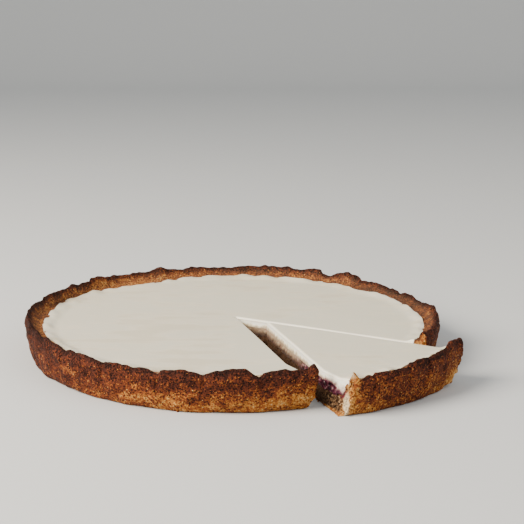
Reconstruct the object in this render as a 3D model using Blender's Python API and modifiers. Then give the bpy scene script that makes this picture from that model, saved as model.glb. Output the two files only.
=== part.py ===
# Lingonberry pie with one slice of eight drawn a little way out.
# Metres, +Z up. The origin is the middle of the whole pie, on its flat base,
# and the slice is drawn towards the front right.
import math
import random

import bmesh
import bpy
from mathutils import Matrix, Vector, noise

# Crust: a hand-pressed dish that flares towards its rim
RIM_RADIUS = 0.1345
BASE_RADIUS = 0.1262
RIM_HEIGHT = 0.0260
SHOULDER_HEIGHT = 0.0210
WALL_THICKNESS = 0.0108
FLOOR_THICKNESS = 0.0094
INNER_FOOT_RADIUS = 0.1205
FOOT_FILLET = 0.0030
FLARE_POWER = 0.5
CREST_LEAN = 3.0
ROW_CROWDING = 1.4

# Filling: a layer of lingonberries under a set cream
CREAM_LEVEL = 0.0202
CREAM_CREEP = 0.0007
LEVEL_RADIUS = 0.0940
CREAM_FLAT_RADIUS = 0.1140
BERRY_LAYER_TOP = 0.0143
BERRY_FLAT_RADIUS = 0.1125
BERRY_EDGE_RADIUS = 0.1172
LAYER_GAP = 0.00035

# Unevenness of the hand-pressed form
RIM_TILT = 0.0022
RIM_TILT_ANGLE = 160.0
RIM_PUSH = 0.0011
INNER_PUSH = 0.0016
CRAG_HEIGHT = 0.0009
CRAG_SIZE = 0.0085
LAYER_WAVE = 0.0004
LAYER_WAVE_SIZE = 0.021
PUSH_LOBES = 13

# Lobes and dips of the rim: angle in degrees, height in millimetres, half width in degrees
RIM_LOBES = (
    (-138.0, -1.2, 1.8), (-123.5, -1.7, 3.4), (-113.5, -1.3, 2.6), (-107.6, -2.6, 2.0),
    (-95.8, -1.6, 1.6), (-88.8, 1.9, 3.6), (-86.4, 0.8, 1.0), (-82.6, -1.9, 1.7), (-77.8, 1.4, 2.4),
    (-73.6, 1.1, 1.1), (-71.4, 0.5, 1.2), (-68.7, 3.3, 1.5), (-66.3, -3.2, 1.2), (-63.4, -1.5, 1.0),
    (-57.0, -1.0, 4.5),
    (-48.4, 1.8, 2.2), (-32.5, 2.0, 5.5), (-30.0, 3.2, 20.0), (1.5, 4.2, 7.5), (29.0, -0.6, 3.0),
    (38.5, 0.8, 3.5), (51.5, 3.5, 4.0), (58.8, -1.2, 2.0), (63.0, 1.4, 2.6),
    (74.0, 1.4, 13.0), (81.0, 0.8, 3.0), (93.5, -0.8, 3.5), (112.0, -0.7, 2.4),
    (117.0, 1.8, 2.0), (140.5, 2.2, 3.2), (151.0, 1.0, 4.0),
)
# Where the wall's inner side stands in (-) or out (+) above the filling: the same three numbers
INNER_LOBES = (
    (158.0, 3.5, 7.0), (146.0, 2.5, 6.0), (126.0, -5.0, 8.0), (104.0, 3.0, 5.0), (84.0, 3.0, 4.0),
    (68.0, -3.0, 3.0), (42.5, -6.0, 8.0), (14.0, -3.0, 15.0), (-66.5, 5.5, 8.0),
)
# Where the wall's outer side stands out at the rim, and at the foot
OUTER_RIM_LOBES = ((178.0, 3.0, 12.0), (-30.0, -1.6, 7.0))
OUTER_FOOT_LOBES = ((-158.0, 2.4, 16.0), (-30.0, 1.2, 7.0))
# Arc where the rim's lobes follow a rule, with a dip at each step
FREE_ARC = (-178.0, -148.0)
FREE_LOBE_STEP = 9.0
FREE_LOBE_DEPTH = 1.3

# Cuts and slice
CUT_TIP = Vector((0.0012, 0.0071, 0.0))
NEAR_CUT_ANGLE = -73.4
FAR_CUT_ANGLE = -29.2
# the near cut veers in the crust, more at the rim than at the base
NEAR_BEND_AT = 0.1090
NEAR_BASE_ANGLE = -69.5
NEAR_RIM_ANGLE = -56.5
VEER_POWER = 0.25
# and the slice's crust has broken away at the foot of its far cut
FAR_BEND_AT = 0.1120
FAR_BREAK_ANGLE = -78.0
FAR_BREAK_HEIGHT = 0.0115
SLICE_SHIFT = Vector((0.0201, -0.0127, 0.0))
CUTTER_REACH = 0.06
CUTTER_MARGIN = 0.008
CUTTER_FOOT = 0.0002
CUTTER_LEVELS = 6
CUTTER_CROWDING = 3

# Berries that show at the cuts
BERRY_RADIUS = (0.0025, 0.0032)
BERRY_HALF_HEIGHT = 0.0017
BERRY_PITCH = 0.0066
BERRY_RUN = (0.014, 0.101)
BERRY_BULGE = 0.0013

TURN_STEPS = 140
WALL_ROWS = 5
CREST_ROWS = 6
FOOT_ROWS = 3
EDGE_ROWS = 4
SMOOTH_ANGLE = math.radians(40)
SEED = 11


def clear_scene():
    for thing in list(bpy.data.objects):
        bpy.data.objects.remove(thing, do_unlink=True)


def make_collection(name):
    collection = bpy.data.collections.new(name)
    bpy.context.scene.collection.children.link(collection)
    return collection


def add_object(name, mesh, collection):
    thing = bpy.data.objects.new(name, mesh)
    collection.objects.link(thing)
    return thing


def make_material(name, colour, roughness):
    material = bpy.data.materials.new(name)
    material.use_nodes = True
    shader = material.node_tree.nodes["Principled BSDF"]
    shader.inputs["Base Color"].default_value = (*colour, 1.0)
    shader.inputs["Roughness"].default_value = roughness
    shader.inputs["Metallic"].default_value = 0.0
    return material


def smooth_step(low, high, value):
    t = min(max((value - low) / (high - low), 0.0), 1.0)
    return t * t * (3.0 - 2.0 * t)


def angle_between(a, b):
    return abs((a - b + 180.0) % 360.0 - 180.0)


# Cross-section of the turned form

def outer_wall_radius(height):
    return BASE_RADIUS + (RIM_RADIUS - BASE_RADIUS) * (height / SHOULDER_HEIGHT) ** FLARE_POWER


def inner_wall_radius(height):
    rise = (height - FLOOR_THICKNESS) / (SHOULDER_HEIGHT - FLOOR_THICKNESS)
    return INNER_FOOT_RADIUS + (RIM_RADIUS - WALL_THICKNESS - INNER_FOOT_RADIUS) * rise


def inner_wall_heights():
    row = (SHOULDER_HEIGHT - FLOOR_THICKNESS) / WALL_ROWS
    return [FLOOR_THICKNESS + row * i for i in range(1, WALL_ROWS)]


def berry_top(radius):
    fall = smooth_step(BERRY_FLAT_RADIUS, BERRY_EDGE_RADIUS, radius)
    low = FLOOR_THICKNESS + 3.0 * LAYER_GAP
    return BERRY_LAYER_TOP + (low - BERRY_LAYER_TOP) * fall


def crust_profile():
    points = [(0.0, FLOOR_THICKNESS), (INNER_FOOT_RADIUS - FOOT_FILLET, FLOOR_THICKNESS)]
    for i in range(1, FOOT_ROWS):
        turn = math.pi / 2 * i / FOOT_ROWS
        radius = INNER_FOOT_RADIUS - FOOT_FILLET + FOOT_FILLET * math.sin(turn)
        points.append((radius, FLOOR_THICKNESS + FOOT_FILLET / 2 * (1 - math.cos(turn))))
    points += [(inner_wall_radius(height), height) for height in inner_wall_heights()]
    for i in range(CREST_ROWS + 1):
        share = (1 - math.cos(math.pi * i / CREST_ROWS)) / 2
        height = SHOULDER_HEIGHT + (RIM_HEIGHT - SHOULDER_HEIGHT) * math.sin(math.pi * share ** CREST_LEAN)
        points.append((RIM_RADIUS - WALL_THICKNESS * (1 - share), height))
    for i in range(1, WALL_ROWS + 1):
        height = SHOULDER_HEIGHT * (1 - i / WALL_ROWS) ** ROW_CROWDING
        points.append((outer_wall_radius(height), height))
    points.append((0.0, 0.0))
    return points


def layer_edge_radii():
    fall = BERRY_EDGE_RADIUS - BERRY_FLAT_RADIUS
    return [BERRY_FLAT_RADIUS + fall * i / EDGE_ROWS for i in range(EDGE_ROWS + 1)]


def berry_profile():
    bottom = FLOOR_THICKNESS + LAYER_GAP
    points = [(0.0, BERRY_LAYER_TOP), (BERRY_FLAT_RADIUS / 2, BERRY_LAYER_TOP)]
    points += [(radius, berry_top(radius)) for radius in layer_edge_radii()]
    points += [(BERRY_EDGE_RADIUS, bottom), (BERRY_FLAT_RADIUS / 2, bottom), (0.0, bottom)]
    return points


def cream_profile():
    edge_level = CREAM_LEVEL + CREAM_CREEP
    points = [(0.0, CREAM_LEVEL), (BERRY_FLAT_RADIUS / 2, CREAM_LEVEL), (CREAM_FLAT_RADIUS, CREAM_LEVEL)]
    points.append((inner_wall_radius(edge_level) - 4 * CREAM_CREEP, CREAM_LEVEL + CREAM_CREEP / 4))
    heights = [edge_level] + inner_wall_heights()[::-1]
    points += [(inner_wall_radius(height) - LAYER_GAP, height) for height in heights]
    points.append((INNER_FOOT_RADIUS - FOOT_FILLET, FLOOR_THICKNESS + 2 * LAYER_GAP))
    rises = reversed(layer_edge_radii())
    points += [(radius + LAYER_GAP, berry_top(radius) + LAYER_GAP) for radius in rises]
    points += [(BERRY_FLAT_RADIUS / 2, BERRY_LAYER_TOP + LAYER_GAP), (0.0, BERRY_LAYER_TOP + LAYER_GAP)]
    return points


# Unevenness, the same for the crust and for what fills it

def lobes(angle, table):
    total = 0.0
    for centre, size, half_width in table:
        away = angle_between(angle, centre) / half_width
        total += size / 1000 * math.exp(-away * away)
    return total


def inner_lean(height):
    return 0.25 + 0.75 * smooth_step(FLOOR_THICKNESS, CREAM_LEVEL, height)


def rim_lift(angle):
    lift = RIM_TILT * math.cos(math.radians(angle - RIM_TILT_ANGLE)) + lobes(angle, RIM_LOBES)
    if FREE_ARC[0] < angle < FREE_ARC[1]:
        phase = (angle - FREE_ARC[0]) / FREE_LOBE_STEP
        lift -= FREE_LOBE_DEPTH / 1000 * (1 - abs(math.sin(math.pi * phase)))
    return lift


def ring_noise(angle, count, level):
    turn = math.radians(angle)
    around = Vector((math.cos(turn), math.sin(turn), 0.0)) * count / math.tau
    return noise.noise(around + Vector((SEED, level, 0.5)))


def settle(point):
    radius = math.hypot(point.x, point.y)
    height = point.z
    wave = noise.noise(Vector((point.x, point.y, 0.0)) / LAYER_WAVE_SIZE) * LAYER_WAVE
    in_filling = smooth_step(FLOOR_THICKNESS + LAYER_GAP, BERRY_LAYER_TOP, height)
    in_filling *= 1 - smooth_step(BERRY_LAYER_TOP + LAYER_GAP, CREAM_LEVEL, height)
    if radius < LEVEL_RADIUS:
        return Vector((point.x, point.y, height + wave * in_filling))
    angle = math.degrees(math.atan2(point.y, point.x))
    near_wall = smooth_step(LEVEL_RADIUS, INNER_FOOT_RADIUS, radius)
    in_rim = smooth_step(CREAM_LEVEL + CREAM_CREEP, RIM_HEIGHT, height)
    share = 0.35 + 0.65 * height / RIM_HEIGHT
    inner = 1 - smooth_step(RIM_RADIUS - WALL_THICKNESS, RIM_RADIUS - WALL_THICKNESS / 3, radius)
    push = RIM_PUSH * share * ring_noise(angle, PUSH_LOBES, 0.0)
    push += INNER_PUSH * inner * ring_noise(angle, 2 * PUSH_LOBES, height / RIM_HEIGHT)
    push += inner * inner_lean(height) * lobes(angle, INNER_LOBES)
    outer = smooth_step(RIM_RADIUS - WALL_THICKNESS, BASE_RADIUS, radius)
    rise = height / RIM_HEIGHT
    push += outer * (rise * lobes(angle, OUTER_RIM_LOBES) + (1 - rise) * lobes(angle, OUTER_FOOT_LOBES))
    scale = (radius + near_wall * push) / radius
    height += in_rim * rim_lift(angle) + wave * in_filling * (1 - near_wall)
    return Vector((point.x * scale, point.y * scale, height))


def crag(point):
    radius = math.hypot(point.x, point.y)
    outside = smooth_step(RIM_RADIUS - WALL_THICKNESS, RIM_RADIUS - WALL_THICKNESS / 2, radius)
    above_base = smooth_step(0.0, 4 * CRAG_HEIGHT, point.z)
    bump = noise.noise(point / CRAG_SIZE) * CRAG_HEIGHT * outside * above_base
    high = smooth_step(SHOULDER_HEIGHT, RIM_HEIGHT, point.z)
    outward = Vector((point.x, point.y, 0.0)) / radius if radius > 0 else Vector((0.0, 0.0, 0.0))
    return point + outward * bump * (1 - high) + Vector((0.0, 0.0, bump * high))


# Layers of the whole pie

def turned_layer(name, profile, collection, craggy=False):
    form = bmesh.new()
    verts = [form.verts.new((radius, 0.0, height)) for radius, height in profile]
    for a, b in zip(verts, verts[1:]):
        form.edges.new((a, b))
    mesh = bpy.data.meshes.new(name)
    form.to_mesh(mesh)
    form.free()
    thing = add_object(name, mesh, collection)
    screw = thing.modifiers.new("turn", "SCREW")
    screw.steps = TURN_STEPS
    screw.render_steps = TURN_STEPS
    screw.use_merge_vertices = True
    screw.merge_threshold = 0.00005
    bake(thing)
    for vertex in thing.data.vertices:
        vertex.co = settle(crag(vertex.co) if craggy else vertex.co)
    return thing


def bake(thing):
    depsgraph = bpy.context.evaluated_depsgraph_get()
    mesh = bpy.data.meshes.new_from_object(thing.evaluated_get(depsgraph))
    thing.modifiers.clear()
    thing.data = mesh


def direction(angle):
    return Vector((math.cos(math.radians(angle)), math.sin(math.radians(angle)), 0.0))


def near_heading(height):
    rise = (max(height, 0.0) / RIM_HEIGHT) ** VEER_POWER
    return NEAR_BASE_ANGLE + (NEAR_RIM_ANGLE - NEAR_BASE_ANGLE) * rise


def far_heading(height, foot_angle):
    rise = min(max(height, 0.0) / FAR_BREAK_HEIGHT, 1.0)
    return foot_angle + (FAR_CUT_ANGLE - foot_angle) * rise


def ring_at(form, height, foot_angle):
    near_bend = CUT_TIP + direction(NEAR_CUT_ANGLE) * NEAR_BEND_AT
    far_bend = CUT_TIP + direction(FAR_CUT_ANGLE) * FAR_BEND_AT
    near_end = near_bend + direction(near_heading(height)) * CUTTER_REACH
    far_end = far_bend + direction(far_heading(height, foot_angle)) * CUTTER_REACH
    corners = [CUT_TIP, near_bend, near_end, far_end, far_bend]
    verts = [form.verts.new((corner.x, corner.y, height)) for corner in corners]
    return verts, [form.edges.new((verts[i - 1], verts[i])) for i in range(len(verts))]


def cutter_heights():
    # closer together near the base, where the near cut turns fastest
    heights = [RIM_HEIGHT * (i / CUTTER_LEVELS) ** CUTTER_CROWDING for i in range(1, CUTTER_LEVELS + 1)]
    return [-CUTTER_MARGIN, -CUTTER_FOOT] + heights + [RIM_HEIGHT + CUTTER_MARGIN]


def wedge_cutter(name, foot_angle, collection):
    form = bmesh.new()
    rings = [ring_at(form, height, foot_angle) for height in cutter_heights()]
    for below, above in zip(rings, rings[1:]):
        bmesh.ops.bridge_loops(form, edges=below[1] + above[1])
    form.faces.new(rings[0][0])
    form.faces.new(rings[-1][0])
    bmesh.ops.recalc_face_normals(form, faces=form.faces)
    return cutter_object(name, form, collection)


def cutter_object(name, form, collection):
    mesh = bpy.data.meshes.new(name)
    form.to_mesh(mesh)
    form.free()
    cutter = add_object(name, mesh, collection)
    cutter.hide_render = True
    cutter.display_type = "WIRE"
    return cutter


def copy_layer(layer, name, collection):
    return add_object(name, layer.data.copy(), collection)


def cut(thing, cutter, operation):
    boolean = thing.modifiers.new(cutter.name, "BOOLEAN")
    boolean.operation = operation
    boolean.object = cutter
    bake(thing)


# Berries at the cuts

def berries_along_cut(side, collection, rng):
    along = direction(NEAR_CUT_ANGLE)
    outward = Vector((-along.y, along.x, 0.0)) * side
    middle = (FLOOR_THICKNESS + LAYER_GAP + BERRY_LAYER_TOP) / 2
    place = BERRY_RUN[0]
    while place < BERRY_RUN[1]:
        radius = rng.uniform(*BERRY_RADIUS)
        inset = radius - BERRY_BULGE * rng.uniform(0.6, 1.0)
        centre = CUT_TIP + along * place - outward * inset
        centre.z = middle + rng.uniform(-1.0, 1.0) * LAYER_GAP
        form = bmesh.new()
        bmesh.ops.create_icosphere(form, subdivisions=2, radius=1.0)
        bmesh.ops.scale(form, verts=form.verts, vec=(radius, radius, BERRY_HALF_HEIGHT))
        bmesh.ops.rotate(form, verts=form.verts, matrix=Matrix.Rotation(rng.uniform(0, math.tau), 3, "Z"))
        bmesh.ops.translate(form, verts=form.verts, vec=centre)
        mesh = bpy.data.meshes.new("berry")
        form.to_mesh(mesh)
        form.free()
        add_object("berry", mesh, collection)
        place += BERRY_PITCH * rng.uniform(0.85, 1.3)


def fuse_berries(layer, side, rng):
    berries = make_collection(layer.name + "_cut_berries")
    berries_along_cut(side, berries, rng)
    union = layer.modifiers.new("berries", "BOOLEAN")
    union.operation = "UNION"
    union.operand_type = "COLLECTION"
    union.collection = berries
    bake(layer)
    for berry in list(berries.objects):
        bpy.data.objects.remove(berry, do_unlink=True)
    bpy.data.collections.remove(berries)


def finish(thing, material):
    thing.data.materials.clear()
    thing.data.materials.append(material)
    thing.data.shade_smooth()
    thing.data.set_sharp_from_angle(angle=SMOOTH_ANGLE)


def build():
    clear_scene()
    pie = make_collection("lingonberry_pie")
    cutters = make_collection("cutters")
    rng = random.Random(SEED)
    materials = {
        "crust": make_material("baked_crust", (0.30, 0.13, 0.045), 0.75),
        "berries": make_material("lingonberry_filling", (0.10, 0.006, 0.022), 0.35),
        "cream": make_material("set_cream", (0.62, 0.60, 0.53), 0.45),
    }
    layers = {
        "crust": turned_layer("whole_crust", crust_profile(), pie, craggy=True),
        "berries": turned_layer("whole_berries", berry_profile(), pie),
        "cream": turned_layer("whole_cream", cream_profile(), pie),
    }
    notch = wedge_cutter("notch", FAR_CUT_ANGLE, cutters)
    wedge = wedge_cutter("slice_wedge", FAR_BREAK_ANGLE, cutters)

    # the slice hangs on an empty that draws it out of the pie
    slice_place = add_object("slice_place", None, pie)
    slice_place.location = SLICE_SHIFT

    for kind, layer in layers.items():
        rest = copy_layer(layer, "pie_" + kind, pie)
        cut(rest, notch, "DIFFERENCE")
        piece = copy_layer(layer, "slice_" + kind, pie)
        cut(piece, wedge, "INTERSECT")
        if kind == "berries":
            fuse_berries(rest, 1, rng)
            fuse_berries(piece, -1, rng)
        finish(rest, materials[kind])
        finish(piece, materials[kind])
        piece.parent = slice_place
        bpy.data.objects.remove(layer, do_unlink=True)


build()
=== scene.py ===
# Lingonberry pie: the looks of its crust, its berries and its cream, in metres
import functools
import math
import random

import bmesh
import bpy
from mathutils import Matrix, Vector, noise


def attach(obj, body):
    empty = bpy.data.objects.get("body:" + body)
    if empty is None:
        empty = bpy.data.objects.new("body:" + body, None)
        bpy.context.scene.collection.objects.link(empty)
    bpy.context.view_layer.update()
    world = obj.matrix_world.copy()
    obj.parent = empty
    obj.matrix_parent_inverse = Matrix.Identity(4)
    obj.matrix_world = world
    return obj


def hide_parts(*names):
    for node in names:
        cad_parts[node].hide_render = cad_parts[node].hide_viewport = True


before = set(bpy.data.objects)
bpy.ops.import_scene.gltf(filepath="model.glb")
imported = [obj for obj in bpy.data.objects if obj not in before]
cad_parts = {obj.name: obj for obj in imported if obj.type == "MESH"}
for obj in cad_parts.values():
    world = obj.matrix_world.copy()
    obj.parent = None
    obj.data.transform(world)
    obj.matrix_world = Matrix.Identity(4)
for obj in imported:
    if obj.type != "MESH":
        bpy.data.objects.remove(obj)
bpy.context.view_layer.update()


# Small tools

def linear(code):
    channels = [int(code[i:i + 2], 16) / 255 for i in (1, 3, 5)]
    return (*[c / 12.92 if c <= 0.04045 else ((c + 0.055) / 1.055) ** 2.4 for c in channels], 1.0)


def ease(low, high, value):
    # 0 up to low, 1 from high on, and smooth between them
    t = min(max((value - low) / (high - low), 0.0), 1.0)
    return t * t * (3.0 - 2.0 * t)


def blendOf(a, b, share):
    return a + (b - a) * share


def direction(angle):
    return Vector((math.cos(math.radians(angle)), math.sin(math.radians(angle)), 0.0))


def angleOf(spot):
    return math.degrees(math.atan2(spot.y, spot.x))


def turnBetween(a, b):
    return abs((a - b + 180.0) % 360.0 - 180.0)


def linkUp(node, links):
    # a source is a socket, or a node whose first output in use is meant
    for name, source in links.items():
        if isinstance(source, bpy.types.Node):
            source = next(output for output in source.outputs if output.enabled)
        node.id_data.links.new(source, node.inputs[name])


def addNode(tree, kind, settings=None, links=None):
    node = tree.nodes.new("ShaderNode" + kind)
    for name, value in (settings or {}).items():
        if name == "stops":
            ramp = node.color_ramp
            while len(ramp.elements) < len(value):
                ramp.elements.new(0.5)
            for element, (place, code) in zip(ramp.elements, value):
                element.position = place
                element.color = linear(code)
        elif isinstance(name, int) or name in node.inputs:
            node.inputs[name].default_value = value
        else:
            setattr(node, name, value)
    linkUp(node, links or {})
    return node


def spanOf(low, high, least=0.0, most=1.0):
    # settings that turn a range from low to high into one from least to most
    return {"From Min": low, "From Max": high, "To Min": least, "To Max": most}


def noiseOf(size, detail, roughness):
    return {"Scale": 1 / size, "Detail": detail, "Roughness": roughness}


def newMaterial(name, settings):
    # gives the material, its shader and what adds a node to it
    material = bpy.data.materials.new(name)
    material.use_nodes = True
    shader = material.node_tree.nodes["Principled BSDF"]
    for socket, value in settings.items():
        shader.inputs[socket].default_value = value
    return material, shader, functools.partial(addNode, material.node_tree)


# Form of the pie: the pressed dish, its cuts and its unevenness, as the solids have them

dish = {
    "rimRadius": 0.1345, "baseRadius": 0.1262, "rimHeight": 0.0260, "shoulderHeight": 0.0210,
    "wallThickness": 0.0108, "floorThickness": 0.0094, "footRadius": 0.1205,
    "flarePower": 0.5, "crestLean": 3,
    "creamLevel": 0.0202, "creep": 0.0007, "levelRadius": 0.0940, "creamFlat": 0.1140,
    "berryTop": 0.0143, "berryFlat": 0.1125, "berryEdge": 0.1172, "layerGap": 0.00035,
}

cuts = {
    "tip": Vector((0.0012, 0.0071, 0)), "near": -73.4, "far": -29.2,
    # in the crust the near cut veers, most at the rim
    "nearBend": 0.1090, "nearAtBase": -69.5, "nearAtRim": -56.5, "veerPower": 0.25, "nearSpread": 24,
    # and beside the far one the slice's foot has broken away
    "farBend": 0.1120, "farBreak": -78, "breakHeight": 0.0115, "farSpread": 16,
    "core": 0.0120,  # within this radius the rings close in on the tip
    "draw": Vector((0.0201, -0.0127, 0)),
    "dragFrom": (0.012, 0.001, 0.012),  # round here the knife has dragged crumb over the filling
}

uneven = {
    "tilt": 0.0022, "tiltAngle": 160, "push": 0.0011, "innerPush": 0.0016, "pushCount": 13,
    "cragHeight": 0.0009, "cragSize": 0.0085, "wave": 0.0004, "waveSize": 0.021, "seed": 11,
    "pushAtBase": 0.35, "leanAtFloor": 0.25,  # what is left of the push low down
    # angle in degrees, height in mm, half width in degrees
    "rim": (
        (-138, -1.2, 1.8), (-123.5, -1.7, 3.4), (-113.5, -1.3, 2.6), (-107.6, -2.6, 2),
        (-95.8, -1.6, 1.6), (-88.8, 1.9, 3.6), (-86.4, 0.8, 1), (-82.6, -1.9, 1.7), (-77.8, 1.4, 2.4),
        (-73.6, 1.1, 1.1), (-71.4, 0.5, 1.2), (-68.7, 3.3, 1.5), (-66.3, -3.2, 1.2), (-63.4, -1.5, 1),
        (-57, -1, 4.5), (-48.4, 1.8, 2.2), (-32.5, 2, 5.5), (-30, 3.2, 20), (1.5, 4.2, 7.5), (29, -0.6, 3),
        (38.5, 0.8, 3.5), (51.5, 3.5, 4), (58.8, -1.2, 2), (63, 1.4, 2.6), (74, 1.4, 13), (81, 0.8, 3),
        (93.5, -0.8, 3.5), (112, -0.7, 2.4), (117, 1.8, 2), (140.5, 2.2, 3.2), (151, 1, 4),
    ),
    "inner": (
        (158, 3.5, 7), (146, 2.5, 6), (126, -5, 8), (104, 3, 5), (84, 3, 4),
        (68, -3, 3), (42.5, -6, 8), (14, -3, 15), (-66.5, 5.5, 8),
    ),
    "outerRim": ((178, 3, 12), (-30, -1.6, 7)),
    "outerFoot": ((-158, 2.4, 16), (-30, 1.2, 7)),
    "ruled": (-178, -148, 9, 0.0013),  # from, to, step, depth of the dips there
}


def outerRadius(height):
    rise = min(max(height, 0.0) / dish["shoulderHeight"], 1.0)
    return dish["baseRadius"] + (dish["rimRadius"] - dish["baseRadius"]) * rise ** dish["flarePower"]


def innerRadius(height):
    rise = (height - dish["floorThickness"]) / (dish["shoulderHeight"] - dish["floorThickness"])
    rise = min(max(rise, 0.0), 1.0)
    return dish["footRadius"] + (dish["rimRadius"] - dish["wallThickness"] - dish["footRadius"]) * rise


def berryTop(radius):
    fall = ease(dish["berryFlat"], dish["berryEdge"], radius)
    return blendOf(dish["berryTop"], dish["floorThickness"] + 3 * dish["layerGap"], fall)


def bumpsAround(angle, table, perUnit=1000):
    # the sizes are in thousandths, or in whole units where perUnit is 1
    total = 0.0
    for centre, size, halfWidth in table:
        away = turnBetween(angle, centre) / halfWidth
        if away < 3.5:  # past that nothing is left of it
            total += size / perUnit * math.exp(-away * away)
    return total


@functools.cache
def rimLift(angle):
    # asked for at whole tenths of a degree, so that it is worked out once for each
    lift = uneven["tilt"] * math.cos(math.radians(angle - uneven["tiltAngle"]))
    lift += bumpsAround(angle, uneven["rim"])
    start, end, step, depth = uneven["ruled"]
    if start < angle < end:
        lift -= depth * (1 - abs(math.sin(math.pi * (angle - start) / step)))
    return lift


@functools.cache
def innerBumps(angle):
    return bumpsAround(angle, uneven["inner"])


@functools.cache
def outerBumps(angle):
    return bumpsAround(angle, uneven["outerFoot"]), bumpsAround(angle, uneven["outerRim"])


def ringNoise(angle, count, level):
    around = direction(angle) * count / math.tau
    return noise.noise(around + Vector((uneven["seed"], level, 0.5)))


def settle(point):
    # moves a point of the even dish to where the hand-pressed one has it
    radius = math.hypot(point.x, point.y)
    height = point.z
    wave = noise.noise(Vector((point.x, point.y, 0.0)) / uneven["waveSize"]) * uneven["wave"]
    filling = ease(dish["floorThickness"] + dish["layerGap"], dish["berryTop"], height)
    filling *= 1 - ease(dish["berryTop"] + dish["layerGap"], dish["creamLevel"], height)
    if radius < dish["levelRadius"]:
        return Vector((point.x, point.y, height + wave * filling))
    angle = angleOf(point)
    nearWall = ease(dish["levelRadius"], dish["footRadius"], radius)
    inRim = ease(dish["creamLevel"] + dish["creep"], dish["rimHeight"], height)
    rise = height / dish["rimHeight"]
    mouth = dish["rimRadius"] - dish["wallThickness"]
    inner = 1 - ease(mouth, mouth + dish["wallThickness"] * 2 / 3, radius)
    push = uneven["push"] * blendOf(uneven["pushAtBase"], 1.0, rise)
    push *= ringNoise(angle, uneven["pushCount"], 0.0)
    push += uneven["innerPush"] * inner * ringNoise(angle, 2 * uneven["pushCount"], rise)
    lean = blendOf(uneven["leanAtFloor"], 1.0, ease(dish["floorThickness"], dish["creamLevel"], height))
    push += inner * lean * innerBumps(round(angle, 1))
    push += ease(mouth, dish["baseRadius"], radius) * blendOf(*outerBumps(round(angle, 1)), rise)
    scale = (radius + nearWall * push) / radius
    height += inRim * rimLift(round(angle, 1)) + wave * filling * (1 - nearWall)
    return Vector((point.x * scale, point.y * scale, height))


def crag(point):
    # roughens the wall: sideways on its side, upwards at its crest
    radius = math.hypot(point.x, point.y)
    mouth = dish["rimRadius"] - dish["wallThickness"]
    bump = noise.noise(point / uneven["cragSize"]) * uneven["cragHeight"]
    bump *= ease(mouth, mouth + dish["wallThickness"] / 2, radius)
    bump *= ease(0.0, 4 * uneven["cragHeight"], point.z)
    high = ease(dish["shoulderHeight"], dish["rimHeight"], point.z)
    outward = Vector((point.x, point.y, 0.0)) / max(radius, 1e-6)
    return point + outward * bump * (1 - high) + Vector((0.0, 0.0, bump * high))


# The two parts that the cuts leave, each swept round the tip of the cuts

parts = {
    "pie": {"start": cuts["far"], "end": cuts["near"] + 360, "near": cuts["near"] + 360,
            "footAngle": cuts["far"], "move": Vector(), "worn": False},
    "slice": {"start": cuts["near"], "end": cuts["far"], "near": cuts["near"],
              "footAngle": cuts["farBreak"], "move": cuts["draw"], "worn": True},
}


def reach(start, away, radius):
    # how far from start, in the direction away, the circle of this radius lies
    lean = start.dot(away)
    return math.sqrt(max(lean * lean - start.length_squared + radius * radius, 0.0)) - lean


def nearHeading(height):
    rise = max(height / dish["rimHeight"], 0.0) ** cuts["veerPower"]
    return blendOf(cuts["nearAtBase"], cuts["nearAtRim"], rise)


def farHeading(part, height):
    return blendOf(part["footAngle"], cuts["far"], min(max(height / cuts["breakHeight"], 0.0), 1.0))


def veer(side, heading, radius):
    # degrees that a cut has turned aside at this radius, seen from the tip
    bend = cuts["tip"] + direction(cuts[side]) * cuts[side + "Bend"]
    if radius <= bend.length:
        return 0.0
    away = direction(heading)
    crossing = bend + away * reach(bend, away, radius) - cuts["tip"]
    return angleOf(crossing) - cuts[side]


def spotOf(part, turn, radius, height):
    # a place in the round pie, from a turn about the cuts' tip, a radius and a height
    besideNear = 1 - ease(0.0, cuts["nearSpread"], abs(turn - part["near"]))
    besideFar = 1 - ease(0.0, cuts["farSpread"], abs(turn - cuts["far"]))
    if besideNear > 0:
        turn += besideNear * veer("near", nearHeading(height), radius)
    if besideFar > 0:
        turn += besideFar * veer("far", farHeading(part, height), radius)
    away = direction(turn)
    core = cuts["core"]
    if radius < core:
        out = reach(cuts["tip"], away, core) * radius / core
    else:
        out = reach(cuts["tip"], away, radius)
    spot = cuts["tip"] + away * out
    spot.z = height
    return spot, out


def asideOf(out, turned):
    # how far from a cut a place lies, from its reach and its turn away from the cut
    return out * math.sin(math.radians(min(turned, 90.0)))


# Making and keeping a mesh

mesh = {"merge": 0.000004, "sharpAngle": 60.0}


def makeBlock(steps, columns, rows):
    # a block whose sides run from 0 to 1: the share of the turn, the share across and the share up
    form = bmesh.new()
    bmesh.ops.create_cube(form, size=1.0)
    bmesh.ops.translate(form, verts=form.verts, vec=(0.5, 0.5, 0.5))
    for axis, count in enumerate((steps, columns, rows)):
        edges = [edge for edge in form.edges if abs(edge.verts[0].co[axis] - edge.verts[1].co[axis]) > 0.5]
        bmesh.ops.subdivide_edges(form, edges=edges, cuts=count - 1, use_grid_fill=True)
    return form


def joinUp(form):
    bmesh.ops.remove_doubles(form, verts=form.verts, dist=mesh["merge"])
    form.normal_update()


def makeGrain(form, rng, centre, radius, shape, subdivisions):
    # a small lump turned at random; the shape has the least and most of its width and its height
    width, height = shape
    angle = rng.uniform(0, math.tau)
    turned = Matrix.Rotation(angle, 4, Vector((rng.random(), rng.random(), 1.0)).normalized())
    sides = Matrix.Diagonal((radius, radius * rng.uniform(*width), radius * rng.uniform(*height), 1.0))
    place = Matrix.Translation(centre) @ turned @ sides
    return bmesh.ops.create_icosphere(form, subdivisions=subdivisions, radius=1.0, matrix=place)["verts"]


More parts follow.
